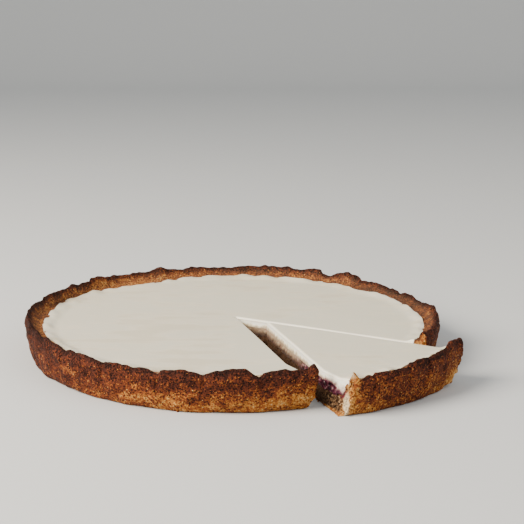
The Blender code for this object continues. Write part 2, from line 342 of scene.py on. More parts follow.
def addObject(name, data):
    made = bpy.data.objects.new(name, data)
    bpy.context.scene.collection.objects.link(made)
    return made


def addMesh(name, form, material):
    skin = bpy.data.meshes.new(name)
    form.to_mesh(skin)
    form.free()
    skin.materials.append(material)
    skin.shade_smooth()
    return addObject(name, skin)


def keepPiece(name, form, material, replaced, move=(0.0, 0.0, 0.0)):
    bmesh.ops.translate(form, verts=form.verts, vec=move)
    bmesh.ops.recalc_face_normals(form, faces=form.faces[:])
    if form.calc_volume(signed=True) < 0:
        bmesh.ops.reverse_faces(form, faces=form.faces[:])
    piece = addMesh(name, form, material)
    piece.data.set_sharp_from_angle(angle=math.radians(mesh["sharpAngle"]))
    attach(piece, "root")
    if replaced:
        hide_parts(*replaced)
    print(name, len(piece.data.vertices), "points")


# Crust: short pastry pressed by hand, baked dark at the rim, with a coarse sandy skin and an open crumb

crust = {
    "pieWall": (840, 18, 30),  # steps round, across and up
    "sliceWall": (200, 24, 42),
    "pieFloor": (110, 140, 12),
    "sliceFloor": (30, 140, 12),
    "seam": 0.1175,  # radius where the wall meets the floor, under the filling
    "seamBlend": (0.0014, 0.0010),  # how far under and over the floor's top the wall turns up
    "lump": (0.0072, 0.00060),  # size and height of the skin's relief
    "grain": (0.0031, 0.00040),
    "craggy": 1.5,  # how much stronger it is at the crest
    "calm": 0.5,  # and how much weaker on the inner side
    "crestFrom": 0.80,  # the crest starts at this share of the height
    "reliefOver": 0.0020,  # height over which the relief sets in at the base
    "innerSide": (0.46, 0.66),  # shares across between which the inner side ends
    "outerSide": (0.5, 0.8),  # and the outer one starts
    "pore": (0.0026, 0.00080, 0.5),  # size, depth and softness of the open crumb's pores
    "tear": (0.0052, 0.00110),  # size and height of its tears and grit
    "grit": (0.0013, 0.00030),
    "foot": (0.0130, 0.0012, 0.0060, 4.4),  # size, depth, height and place in the noise of the uneven foot
    "footFrom": (-0.2, 0.5),  # noise between which it steps in
    # folds of the rim: angle, how much higher its greater angle stands, how far that runs out in degrees
    "folds": (
        (-138, -0.0014, 2), (-123, 0.0008, 1.5), (-107.2, 0.0019, 2.5), (-95.8, 0.0009, 1.8),
        (-82.2, 0.0019, 2.6), (-62.5, 0.0012, 2), (-51.7, 0.0016, 2.5), (-45, -0.0008, 2),
        (46, 0.0018, 2.5), (61, 0.0016, 2), (106.5, -0.0012, 2.5), (144, -0.0020, 3),
        (169, -0.0024, 3),
    ),
    "foldFrom": 0.85,  # they lift the wall from this share of the shoulder's height
    "foldStep": 0.25,  # half width in degrees of their step
    "foldEnd": 4,  # and they end after this many of their runs
    "crease": (0.0011, 0.55, 1.2),  # depth, half width and lean in degrees of the crease under a fold
    "creaseRise": (0.006, 0.020),  # heights over which it deepens
    "ragged": (0.0032, 0.0014, 0.0050),  # size, height and reach from the cut of its torn ends
    "tornAt": (0.4, 0.05),  # first place in the noise of the tear, and the step to the next
    "tornUp": (0.7, 0.004),  # its share upwards, and the height over which that sets in
    # a low spur of the pie's near end: its height, half height, reach and how far back it begins
    "spur": (0.0075, 0.0036, 0.0024, 0.0070),
    "spurAcross": (0.45, 0.75),
}

# Its marks: what the oven, the knife and the filling have left on it, and painted shade and light

marks = {
    # browning low down, then each rise of it: how much, from and to as shares of the rim's height, patchiness
    "outside": (0.33, ((0.17, 0.24, 0.42, 1), (0.20, 0.44, 0.74, 1), (0.20, 0.82, 0.98, 0))),
    "inside": (0.42, ((0.30, 0.85, 0.99, 0.4),)),
    "turnOut": (0.48, 0.69),  # shares across between which the one turns into the other
    "patches": ((0.017, 0.20, 0.45), (0.0065, 0.10, 1)),  # size, strength and how upright they are
    "patchLeft": 0.15,  # how much of the patches shows everywhere
    # browner (+) and paler (-) stretches, partly oven browning and partly painted shade and light: angle,
    # browning, half width in degrees
    "outShade": ((-160, 0.13, 30), (-88, 0.03, 18), (-50, 0.02, 12), (-31, -0.12, 5)),
    "footShade": ((-152, 0.30, 32), (-50, 0.24, 12)),
    "footShadeEnd": (0.25, 0.60),  # shares of the height over which the foot's stretches end
    "inShade": ((-85, 0.24, 50), (2, 0.17, 20), (35, 0.27, 26), (88, 0.11, 25), (178, 0.10, 22)),
    "floor": 0.30,  # browning of the floor
    "core": 0.29,  # and of the wall's inside at a cut
    "coreDepth": (0.0003, 0.0014),  # depths under the skin over which that begins
    "floorCrumb": (0.0001, 0.0016),  # depths over which the pale crumb begins, in the floor
    "wallCrumb": (0.0002, 0.0014),  # and in the wall
    "crumbFade": (0.05, 0.32, 0.20),  # in the wall it fades between these shares across, to the last
    "crumbFoot": (0.30, 0.007, 0.014),  # how much further across it reaches low down, from and to a height
    # on a cut, the middle radius and height of a mark, and its half sizes
    "juice": (0.1215, 0.0118, 0.0042, 0.0030),
    # a pale chip at the top of the slice's near end, partly a painted highlight
    "chip": (0.1300, 0.0243, 0.0024, 0.0016),
    "chipReach": 0.0012,
    "soak": (0.0990, 0.1130),  # radii between which the floor's crumb is less and less darkened: juice soak and painted shade of the gap
    # at the slice's near cut the skin is worn pale this far, with an edge of this size and unevenness
    "worn": (0.0014, 0.0056),
    "wornEdge": (0.0024, 0.0016),
    "wornMost": 0.85,
    # and cream is smeared down a strip: middle, half width, top and reach from the cut
    "smear": (0.0445, 0.0019, 0.0165, 0.0045),
    "smearSlant": (0.1, -0.124),  # its slant, and the y where its middle has that x
    # the slice's rim has a pale inner edge at its far cut: reach, shares across where it starts and ends
    "edgeReach": (0.006, 0.020),
    "edgeAcross": (0.46, 0.54, 0.60, 0.68),
    "edgeMost": 0.75,
    # where the front rim is low the cream lies over its inner side: from, to, and the crest's height there
    "covered": (-132, -42, 0.0228, 0.0242),
    "coveredAcross": (0.42, 0.56),
}


def wallShape(across, up):
    turn = math.pi * across
    share = (1 - math.cos(turn)) / 2
    crest = math.sin(math.pi * share ** dish["crestLean"])
    peak = blendOf(dish["shoulderHeight"], dish["rimHeight"], crest)
    height = up * peak
    low = dish["floorThickness"]
    under, over = crust["seamBlend"]
    inside = blendOf(crust["seam"], innerRadius(height), ease(low - under, low + over, height))
    outside = outerRadius(height)
    radius = blendOf(inside, outside, share)
    depth = min(outside - radius, peak - height, height)
    if height > low:
        depth = min(depth, radius - inside)
    return radius, height, depth


def floorShape(across, up):
    height = up * dish["floorThickness"]
    return across * crust["seam"], height, height


def layered(spot, layers, relief=0.0):
    for layer in layers:
        size, height = crust[layer]
        relief += noise.noise(spot / size) * height
    return relief


def skinRelief(spot, high):
    return layered(spot, ("lump", "grain")) * blendOf(1.0, crust["craggy"], high)


def crumbRelief(spot):
    size, deep, soft = crust["pore"]
    return layered(spot, ("tear", "grit"), -ease(0.0, soft, noise.noise(spot / size)) * deep)


def foldLift(angle):
    # the rim steps sharply at a fold and runs out on both sides
    lift = 0.0
    for centre, step, width in crust["folds"]:
        away = (angle - centre + 180.0) % 360.0 - 180.0
        if abs(away) < crust["foldEnd"] * width:
            side = max(min(away / crust["foldStep"], 1.0), -1.0)
            lift += step / 2 * side * math.exp(-abs(away) / width)
    return lift


def creaseAt(angle, height):
    depth, halfWidth, lean = crust["crease"]
    wander = lean * (1 - height / dish["rimHeight"])
    deep = 0.0
    for centre, *rest in crust["folds"]:
        away = turnBetween(angle, centre - wander) / halfWidth
        if away < 3.0:  # past that nothing is left of it
            deep += depth * math.exp(-away * away) * ease(*crust["creaseRise"], height)
    return deep


def footDraw(spot, height):
    # how far the pastry's foot stands in from its round line
    size, depth, high, place = crust["foot"]
    inward = ease(*crust["footFrom"], noise.noise(Vector((spot.x, spot.y, place)) / size))
    return depth * (inward - 0.5) * (1 - ease(0.0, high, height))


def tornBy(spot, fromCut):
    # moves a point near a cut a little to all sides, so that the crust ends ragged
    size, high, span = crust["ragged"]
    first, step = crust["tornAt"]
    upShare, upSpan = crust["tornUp"]
    share = 1 - ease(0.0, span, fromCut)
    if share <= 0.0:
        return Vector()
    torn = [noise.noise((spot + Vector((0.0, 0.0, step * axis + first))) / size) * high * share
            for axis in range(3)]
    return Vector((torn[0], torn[1], torn[2] * upShare * ease(0.0, upSpan, spot.z)))


def spurBy(spot, across, height, fromNear):
    # moves a point of the pie's near end a little into the gap
    middle, halfHeight, reached, span = crust["spur"]
    share = math.exp(-((height - middle) / halfHeight) ** 2) * (1 - ease(0.0, span, fromNear))
    aside = direction(angleOf(spot) + 90.0)
    return aside * reached * share * ease(*crust["spurAcross"], across)


def brownRise(side, rise, patch):
    brown, steps = marks[side]
    for gain, start, end, patchiness in steps:
        brown += gain * ease(start, end, rise + patch * patchiness)
    return brown


def browningAt(spot, across, height):
    # 0 is pale crumb, 1 is the darkest edge of the rim
    rise = height / dish["rimHeight"]
    angle = angleOf(spot)
    patch = 0.0
    for size, strength, upright in marks["patches"]:
        patch += noise.noise(Vector((spot.x, spot.y, spot.z * upright)) / size) * strength
    # the stretches add painted shade and light to the oven's browning
    outside = brownRise("outside", rise, patch) + bumpsAround(angle, marks["outShade"], 1)
    outside += bumpsAround(angle, marks["footShade"], 1) * (1 - ease(*marks["footShadeEnd"], rise))
    inside = brownRise("inside", rise, patch) + bumpsAround(angle, marks["inShade"], 1)
    return blendOf(inside, outside, ease(*marks["turnOut"], across)) + patch * marks["patchLeft"]


def crumbShare(depth, across, height, onFloor):
    # how much of the pale crumb a point of a cut shows: all at the filling, less towards the browned skin
    if onFloor:
        return ease(*marks["floorCrumb"], depth)
    further, low, high = marks["crumbFoot"]
    reached = further * (1 - ease(low, high, height))
    start, end, left = marks["crumbFade"]
    fade = blendOf(1.0, left, ease(start + reached, end + reached, across))
    return ease(*marks["wallCrumb"], depth) * fade


def markShare(mark, radius, height):
    middle, level, halfWidth, halfHeight = marks[mark]
    away = math.hypot((radius - middle) / halfWidth, (height - level) / halfHeight)
    return math.exp(-away * away)


def smearShare(spot, fromNear):
    # how much cream lies on the crust; the strip runs straight down, away from the viewer at its foot
    middle, halfWidth, top, span = marks["smear"]
    slant, slantAt = marks["smearSlant"]
    away = (spot.x - slant * (spot.y - slantAt) - middle) / halfWidth
    share = math.exp(-away ** 4) * (1 - ease(top / 2, top, spot.z))
    return share * (1 - ease(0.0, span, fromNear))


def coveredShare(angle, across):
    # how much cream lies on the inner side of the front rim
    start, end, low, high = marks["covered"]
    if not start < angle < end:
        return 0.0
    crest = dish["rimHeight"] + rimLift(round(angle, 1))
    return (1 - ease(low, high, crest)) * (1 - ease(*marks["coveredAcross"], across))


def wornShare(spot, fromNear):
    size, unevenness = marks["wornEdge"]
    return 1 - ease(*marks["worn"], fromNear + noise.noise(spot / size) * unevenness)


def paleEdge(across, fromFar):
    start, startEnd, end, endEnd = marks["edgeAcross"]
    edge = ease(start, startEnd, across) * (1 - ease(end, endEnd, across))
    return edge * (1 - ease(*marks["edgeReach"], fromFar))


def makeCrust(name, part, size, shape, isWall, material, node):
    form = makeBlock(*size)
    layers = {}
    for layer in ("crumb", "browning", "juice", "smear", "soak", "inner", "high"):
        layers[layer] = form.verts.layers.float.new(layer)
    for vert in form.verts:
        share, across, up = vert.co
        radius, height, depth = shape(across, up)
        turn = blendOf(part["start"], part["end"], share)
        spot, out = spotOf(part, turn, radius, height)
        fromNear = asideOf(out, abs(turn - part["near"]))
        brown = browningAt(spot, across, height) if isWall else marks["floor"]
        if isWall and part["worn"]:
            brown = blendOf(brown, marks["core"], marks["wornMost"] * wornShare(spot, fromNear))
            edge = paleEdge(across, asideOf(out, part["end"] - turn))
            brown = blendOf(brown, marks["core"], marks["edgeMost"] * edge)
            vert[layers["smear"]] = smearShare(spot, fromNear)
            # the chip is painted pale, partly a broken crumb and partly a painted highlight
            if fromNear < marks["chipReach"]:
                vert[layers["smear"]] += markShare("chip", radius, height)
        if share in (0.0, 1.0):
            vert[layers["crumb"]] = crumbShare(depth, across, height, not isWall)
            vert[layers["juice"]] = markShare("juice", radius, height)
            # painted shade of the gap, with juice soak: a cut's crumb darkens towards the middle of the pie
            vert[layers["soak"]] = 1 - ease(*marks["soak"], radius)
            brown = blendOf(brown, marks["core"], ease(*marks["coreDepth"], depth))
        vert[layers["browning"]] = brown
        if isWall:
            vert[layers["inner"]] = 1 - ease(*crust["innerSide"], across)
            vert[layers["smear"]] = max(vert[layers["smear"]], coveredShare(angleOf(spot), across))
            vert[layers["high"]] = ease(crust["crestFrom"], 1.0, height / dish["rimHeight"])
            spot = crag(spot)
        angle = angleOf(spot)
        spot = settle(spot)
        if isWall:
            foldLow = dish["shoulderHeight"] * crust["foldFrom"]
            spot.z += ease(foldLow, dish["rimHeight"], height) * foldLift(angle)
            inward = creaseAt(angle, height) + footDraw(spot, height)
            spot -= direction(angle) * inward * ease(*crust["outerSide"], across)
            spot += tornBy(spot, asideOf(out, min(turn - part["start"], part["end"] - turn)))
            if not part["worn"]:
                spot += spurBy(spot, across, height, fromNear)
        vert.co = spot
    joinUp(form)
    for vert in form.verts:
        inCrumb = vert[layers["crumb"]]
        relief = inCrumb * crumbRelief(vert.co) if inCrumb > 0.0 else 0.0
        if isWall and inCrumb < 1.0:
            skin = skinRelief(vert.co, vert[layers["high"]])
            relief += (1 - inCrumb) * skin * blendOf(1.0, crust["calm"], vert[layers["inner"]])
        moved = vert.co + vert.normal * relief * ease(0.0, crust["reliefOver"], vert.co.z)
        moved.z = max(moved.z, 0.0)
        vert.co = moved
    keepPiece(name, form, material, [node], part["move"])


# Crumbs that fell from the cuts and from the foot of the crust

crumbs = {
    "seed": 8, "count": 40, "size": (0.0004, 0.0010),
    "shape": ((0.75, 1), (0.6, 0.8)),  # least and most of their width and height
    "sunk": 0.55,  # height of their middle, in radii
    "lump": (0.0007, 0.35),  # size and share of what makes them lumpy
    # the crumbs in the gap also stand in for the gap's shade, a painted shadow made of crumbs
    "gap": 34, "gapFrom": (0.0485, -0.098, 0), "gapTo": (0.0570, -0.1165, 0),
    "gapScatter": 0.0011, "gapSize": 1.25,  # those in the gap, and how much larger they are
    "footRadius": 0.1268, "footScatter": 0.0018, "around": (-28, 262),
    "browning": (0.30, 0.75), "pale": (0.25, 0.8),  # share of pale ones, and how pale they are
}


def makeCrumbs(material):
    rng = random.Random(crumbs["seed"])
    form = bmesh.new()
    brownLayer = form.verts.layers.float.new("browning")
    crumbLayer = form.verts.layers.float.new("crumb")
    size, lumpy = crumbs["lump"]
    paleCount, paleness = crumbs["pale"]
    for index in range(crumbs["count"]):
        radius = rng.uniform(*crumbs["size"])
        if index < crumbs["gap"]:
            scatter = crumbs["gapScatter"]
            spot = Vector(crumbs["gapFrom"]).lerp(Vector(crumbs["gapTo"]), rng.random())
            spot += Vector((rng.gauss(0.0, scatter), rng.gauss(0.0, scatter), 0.0))
            radius *= crumbs["gapSize"]
        else:
            angle = rng.uniform(*crumbs["around"])
            spot = direction(angle) * (crumbs["footRadius"] + abs(rng.gauss(0.0, crumbs["footScatter"])))
        spot.z = radius * crumbs["sunk"]
        grain = makeGrain(form, rng, spot, radius, crumbs["shape"], 2)
        brown = rng.uniform(*crumbs["browning"])
        pale = paleness if rng.random() < paleCount else 0.0
        for vert in grain:
            vert.co += (vert.co - spot) * noise.noise(vert.co / size) * lumpy
            vert.co.z = max(vert.co.z, 0.0)
            vert[brownLayer] = brown
            vert[crumbLayer] = pale
    keepPiece("crumbs", form, material, [])


# Short pastry baked in a dry oven: fat and sugar brown it, so it is darkest on high grains at the rim and
# golden low down, and its sandy skin gives only a dull sheen
crustFinish = {
    "shader": {"Roughness": 0.75, "IOR": 1.45, "Specular IOR Level": 0.115},
    # size, detail and roughness; real grains are about half as coarse and wouldn't show
    "grit": (0.0012, 3, 0.75),
    "cloud": (0.006, 4, 0.65),
    # the spots' pitch, the share of cells without one, and their radius in pitches: 1.5 to 3 mm apart
    # pits darken the skin's hollows: painted shade
    "pit": (0.0013, 0.30, 0.46),
    # specks pale it: sugar grains, and painted highlights on the grains
    "speck": (0.0016, 0.66, 0.36),
    "spotCore": 0.4,  # share of a spot's radius that is solid
    "bend": (0.0016, 3, 0.0009),  # size, detail and reach of what bends the spots out of round
    # from and to in the pattern, and how much browner it makes the skin there
    # high grit is paler and low grit browner: partly the grains' own tone, partly painted light and shade
    "gritTone": (0.35, 0.65, 0.20, -0.20),
    "pitTone": (0, 1, 0, 0.24),
    "speckTone": (0, 1, 0, -0.32),
    "cloudTone": (0.32, 0.68, -0.18, 0.18),
    "strength": (0.30, 0.60, 0.85, 1.30),  # from and to in the browning, and how strong it all is there
    "skin": (
        (0.00, "#D9B384"), (0.18, "#C28E4A"), (0.33, "#A4672A"), (0.47, "#7D401E"), (0.62, "#5E2C19"),
        (0.78, "#442117"), (1.00, "#24110C"),
    ),
    # the crumb's colour by its grit, near black in the grit's hollows: painted shade in the pores
    "crumb": ((0.40, "#160D0A"), (0.50, "#4A3222"), (0.61, "#8C6C4B"), (0.76, "#D2C1A2")),
    "steam": (0.12, "#9C8668"),  # most of it, and its colour
    # how much and what colour: painted shade of the gap, with juice soak
    "soak": (0.82, "#5A4030"),
    "smear": ((0.62, 1.25, 0, 0.8), "#D8C5A2"),
    "smearLeast": 0.02,  # less than this isn't drawn
    "juice": ((0.12, 0.42, 0, 0.9), "#5F0C2E"),
    "bump": {"Strength": 1, "Distance": 0.0008},
}


def addSpots(add, place, pitch, rare, size):
    # round spots in some of the cells of this pitch
    cells = add("TexVoronoi", {"Scale": 1 / pitch}, {"Vector": place})
    own = add("SeparateColor", None, {"Color": cells.outputs["Color"]})
    chosen = add("Math", {"operation": "GREATER_THAN", 1: rare}, {0: own.outputs["Red"]})
    middle = add("MapRange", spanOf(size * crustFinish["spotCore"], size, 1.0, 0.0), {"Value": cells})
    return add("Math", {"operation": "MULTIPLY"}, {0: chosen, 1: middle})


def crustMaterial():
    finish = crustFinish
    material, shader, add = newMaterial("baked short pastry", finish["shader"])
    place = add("TexCoord").outputs["Object"]
    shares = {}
    for name in ("browning", "crumb", "inner", "soak", "smear", "juice"):
        shares[name] = add("Attribute", {"attribute_name": name}).outputs["Fac"]
    # grit all over, its high grains paler and low ones browner, partly their own tone and partly painted
    # light and shade; pits are darkened as painted shade and specks paled by sugar and painted highlights
    size, detail, reached = finish["bend"]
    bent = add("TexNoise", {"Scale": 1 / size, "Detail": detail}, {"Vector": place})
    shift = add("VectorMath", {"operation": "SCALE", "Scale": reached}, {0: bent.outputs["Color"]})
    warped = add("VectorMath", {"operation": "ADD"}, {0: place, 1: shift})
    grit = add("TexNoise", noiseOf(*finish["grit"]), {"Vector": place})
    cloud = add("TexNoise", noiseOf(*finish["cloud"]), {"Vector": place})
    pit = addSpots(add, warped, *finish["pit"])
    speck = addSpots(add, warped, *finish["speck"])
    tones = [add("MapRange", spanOf(*finish[name]), {"Value": source})
             for source, name in ((grit, "gritTone"), (pit, "pitTone"), (speck, "speckTone"))]
    detail = add("Math", {"operation": "ADD"}, {0: tones[0], 1: tones[1]})
    detail = add("Math", {"operation": "ADD"}, {0: detail, 1: tones[2]})
    # the paler skin is the smoother one
    strength = add("MapRange", spanOf(*finish["strength"]), {"Value": shares["browning"]})
    clouded = add("MapRange", spanOf(*finish["cloudTone"]), {"Value": cloud})
    total = add("Math", {"operation": "MULTIPLY_ADD"}, {0: detail, 1: strength, 2: clouded})
    total = add("Math", {"operation": "ADD"}, {0: total, 1: shares["browning"]})
    skin = add("ValToRGB", {"stops": finish["skin"]}, {"Fac": total})
    # the wall's inner side is greyer, steamed by the filling
    most, colour = finish["steam"]
    greyed = add("Math", {"operation": "MULTIPLY", 1: most}, {0: shares["inner"]})
    steamed = add("Mix", {"data_type": "RGBA", "B": linear(colour)}, {"Factor": greyed, "A": skin})
    # the open crumb of the cut, paler inwards from the skin, and darkest in the grit's hollows as painted
    # shade in the pores
    crumb = add("ValToRGB", {"stops": finish["crumb"]}, {"Fac": grit})
    opened = add("Mix", {"data_type": "RGBA"}, {"Factor": shares["crumb"], "A": steamed, "B": crumb})
    # deep in the pie the crumb is darkened: painted shade of the gap, with some juice soak
    most, colour = finish["soak"]
    depth = add("Math", {"operation": "MULTIPLY", 1: most}, {0: shares["soak"]})
    wet = add("Mix", {"data_type": "RGBA", "B": linear(colour)}, {"Factor": depth, "A": opened})
    # cream lies over it at the slice's near cut and on the low front rim
    span, colour = finish["smear"]
    thick = add("Math", {"operation": "ADD"}, {0: shares["smear"], 1: cloud})
    thick = add("MapRange", spanOf(*span), {"Value": thick})
    shown = add("Math", {"operation": "GREATER_THAN", 1: finish["smearLeast"]}, {0: shares["smear"]})
    thick = add("Math", {"operation": "MULTIPLY"}, {0: thick, 1: shown})
    covered = add("Mix", {"data_type": "RGBA", "B": linear(colour)}, {"Factor": thick, "A": wet})
    # and juice has run into the wall's foot
    span, colour = finish["juice"]
    soaked = add("Math", {"operation": "MULTIPLY"}, {0: shares["juice"], 1: grit})
    soaked = add("MapRange", spanOf(*span), {"Value": soaked})
    stained = add("Mix", {"data_type": "RGBA", "B": linear(colour)}, {"Factor": soaked, "A": covered})
    # specks stand out and pits fall in
    high = add("Math", {"operation": "SUBTRACT"}, {0: grit, 1: pit})
    high = add("Math", {"operation": "ADD"}, {0: high, 1: speck})
    linkUp(shader, {"Base Color": stained, "Normal": add("Bump", finish["bump"], {"Height": high})})
    return material


# Cream: a baked sour cream layer, spread level and drawn up a little at the crust

cream = {
    "pie": (380, 104, 9),  # steps round, across and up
    "slice": (120, 104, 12),
    "crowding": 0.93,  # how closely the steps stand near the cuts
    "fresh": (0.6, 0.0002, 0.0016),  # how much the top beside a cut is painted as light as the cut, a painted highlight on its edge, and how far from it that ends
    "roundness": 0.0015,  # of the cut's upper edge
    "overlap": 0.0009,  # how far the cream reaches into the crust's skin
    # size, height and place in the noise of its slow swell and of the spatula's ripple, which is drawn out
    "waves": ((0.034, 0.00035, 3.1, 1), (0.006, 0.00007, 7.7, 0.4)),
    "climb": (0.009, 0.0016, 1.7, 0.4),  # the same of what climbs the crust, and its least share
    "climbOver": (0.1150, 0.1225),  # radii over which it climbs
    "bulge": 0.0004,  # of the cut face
    "faceHeight": 0.0055,
    "dragLines": (0.0028, 0.00022, 0.3),  # size, height and uprightness of the knife's lines on it
}


def creamShape(across, up):
    edge = innerRadius(dish["creamLevel"])
    radius = across * edge
    top = dish["creamLevel"] + dish["creep"] * ease(dish["creamFlat"], edge, radius)
    bottom = berryTop(radius) + dish["layerGap"] / 2
    height = blendOf(bottom, top, up)
    radius = across * (innerRadius(height) + cream["overlap"])
    return radius, height


def makeLayer(part, size, shape, crowding, finishSpot):
    # a layer of the filling, its steps crowded towards the cuts, and the points of its two cut faces
    form = makeBlock(*size)
    faceLayer = form.verts.layers.float.new("freshCut")
    levelLayer = form.verts.layers.float.new("level")
    most, near, far = cream["fresh"]
    for vert in form.verts:
        share, across, up = vert.co
        radius, height = shape(across, up)
        atCut = share in (0.0, 1.0)
        vert[levelLayer] = up
        share -= crowding * math.sin(math.tau * share) / math.tau
        turn = blendOf(part["start"], part["end"], share)
        spot, out = spotOf(part, turn, radius, height)
        beside = asideOf(out, min(turn - part["start"], part["end"] - turn))
        # beside a cut the top gets a painted highlight along its edge
        vert[faceLayer] = 1.0 if atCut else most * (1 - ease(near, far, beside))
        vert.co = finishSpot(settle(spot), beside)
    joinUp(form)
    return form, [vert for vert in form.verts if vert[faceLayer] > (1.0 + most) / 2]


def creamSurface(spot, beside):
    top, bottom = dish["creamLevel"], dish["berryTop"]
    share = min(max((spot.z - bottom) / (top - bottom), 0.0), 1.3)
    radius = math.hypot(spot.x, spot.y)
    rise = 0.0
    for size, high, place, drawn in cream["waves"]:
        rise += noise.noise(Vector((spot.x * drawn, spot.y, place)) / size) * high
    size, high, place, least = cream["climb"]
    climb = least + noise.noise(Vector((spot.x, spot.y, place)) / size)
    rise += ease(*cream["climbOver"], radius) * climb * high
    size = cream["roundness"]
    if beside < size:
        rise -= size - math.sqrt(max(size * size - (size - beside) ** 2, 0.0))
    spot.z += rise * share
    return spot


def makeCream(name, part, size, material, node):
    form, faceVerts = makeLayer(part, size, creamShape, cream["crowding"], creamSurface)
    lineSize, lineHeight, upright = cream["dragLines"]
    for vert in faceVerts:
        up = min(max((vert.co.z - dish["berryTop"]) / cream["faceHeight"], 0.0), 1.0)
        drag = noise.noise(Vector((vert.co.x, vert.co.y, vert.co.z * upright)) / lineSize) * lineHeight
        vert.co += vert.normal * (cream["bulge"] * math.sin(math.pi * up) + drag)
    keepPiece(name, form, material, [node], part["move"])


# Sour cream set in the oven: fat scatters light inside it, so it looks soft and satin, with faint streaks
# from the spatula on a skin that has dried a little
creamFinish = {
    "shader": {
        "Roughness": 0.48, "IOR": 1.45,
        "Subsurface Weight": 0.35, "Subsurface Radius": (1, 0.85, 0.6), "Subsurface Scale": 0.0022,
    },
    "drawn": {"Scale": (0.16, 1, 1), "Rotation": (0, 0, 0.06)},  # of the spatula's streaks
    "streak": (0.009, 5, 0.6),  # size, detail and roughness
    "mist": (0.045, 3, 0.5),
    # the top's skin is greyer than the cut: partly dried skin, partly painted shade
    "skin": ((0.82, "#CBC3AE"), (0.98, "#D5CEBB"), (1.18, "#CFCAB8")),
    "bleed": (0.0030, 4, 0.5),
    "wander": (0.3, 0.7, -0.18, 0.20),  # from and to in it, and how much higher the smear reaches there
    # colours of the cut by its height, darker towards its foot: crumb and juice drawn up by the knife, and
    # painted shade of the gap
    "tanFoot": ((0.00, "#93806A"), (0.20, "#B2A288"), (0.42, "#E0D7BE"), (0.62, "#FDF9EC")),
    "plumFoot": ((0.00, "#3E1226"), (0.14, "#6E4650"), (0.30, "#A58E84"), (0.52, "#D6CABE"),
                 (0.80, "#FDF9EC")),
    "drag": (0.108, 0.122),  # how far from the dragged place the one gives way to the other
    "bump": {"Strength": 0.25, "Distance": 0.0004},
}


def dragShare(add, place, span):
    # from 0 near the place where the knife has dragged crumb to 1 away from it
    away = add("VectorMath", {"operation": "DISTANCE", 1: cuts["dragFrom"]}, {0: place})
    return add("MapRange", spanOf(*span), {"Value": away.outputs["Value"]})


def creamMaterial():
    finish = creamFinish
    material, shader, add = newMaterial("set sour cream", finish["shader"])
    place = add("TexCoord").outputs["Object"]
    drawn = add("Mapping", finish["drawn"], {"Vector": place})
    streak = add("TexNoise", noiseOf(*finish["streak"]), {"Vector": drawn})
    mist = add("TexNoise", noiseOf(*finish["mist"]), {"Vector": place})
    both = add("Math", {"operation": "ADD"}, {0: streak, 1: mist})
    skin = add("ValToRGB", {"stops": finish["skin"]}, {"Fac": both})
    # the cut is whiter than the dried skin, partly as fresh cream and partly as painted light, and beside a
    # cut the top is painted lighter, a painted highlight on its edge; in its foot the knife has drawn crumb
    # and juice up into it, and painted shade of the gap darkens it: tan towards the middle of the pie, plum
    # near the crust
    level = add("Attribute", {"attribute_name": "level"}).outputs["Fac"]
    bleed = add("TexNoise", noiseOf(*finish["bleed"]), {"Vector": place})
    wander = add("MapRange", spanOf(*finish["wander"]), {"Value": bleed})
    wavy = add("Math", {"operation": "ADD"}, {0: level, 1: wander})
    tan = add("ValToRGB", {"stops": finish["tanFoot"]}, {"Fac": wavy})
    plum = add("ValToRGB", {"stops": finish["plumFoot"]}, {"Fac": wavy})
    reached = dragShare(add, place, finish["drag"])
    foot = add("Mix", {"data_type": "RGBA"}, {"Factor": reached, "A": tan, "B": plum})
    fresh = add("Attribute", {"attribute_name": "freshCut"}).outputs["Fac"]
    whitened = add("Mix", {"data_type": "RGBA"}, {"Factor": fresh, "A": skin, "B": foot})
    linkUp(shader, {"Base Color": whitened, "Normal": add("Bump", finish["bump"], {"Height": streak})})
    return material


# Berries: a layer of lingonberries baked to a dark jam, whole and burst ones showing at the cuts

berries = {
    "pie": (90, 104, 5),  # steps round, across and up
    "slice": (40, 104, 5),
    "crowding": 0.9,
    "lump": (0.0046, 0.0011, 0.45),  # size, height and middle of the layer's lumps at a cut
    "seed": 5,
    "radius": (0.0024, 0.0034),  # of the single berries
    "shape": ((0.8, 1), (0.62, 0.85)),  # least and most of their width and height
    "dent": (0.0021, 0.00028),
    "run": (0.010, 0.117),  # radii between which they sit
    "pitch": (0.0054, 0.7, 1.35),  # and how far apart: in general, at least and at most
    "proud": (0.0013, 0.2, 1.2),  # how far they stand out of the cut, likewise
    "scatter": 0.0012,  # up and down
}


def berryShape(across, up):
    radius = across * dish["berryEdge"]
    bottom = dish["floorThickness"] - dish["layerGap"]
    return radius, blendOf(bottom, berryTop(radius) + dish["layerGap"], up)


def makeBerryLayer(name, part, size, material, node):
    form, faceVerts = makeLayer(part, size, berryShape, berries["crowding"], lambda spot, beside: spot)
    cell, high, middle = berries["lump"]
    for vert in faceVerts:
        vert.co += vert.normal * (middle - noise.voronoi(vert.co / cell)[0][0]) * high
    keepPiece(name, form, material, [node], part["move"])


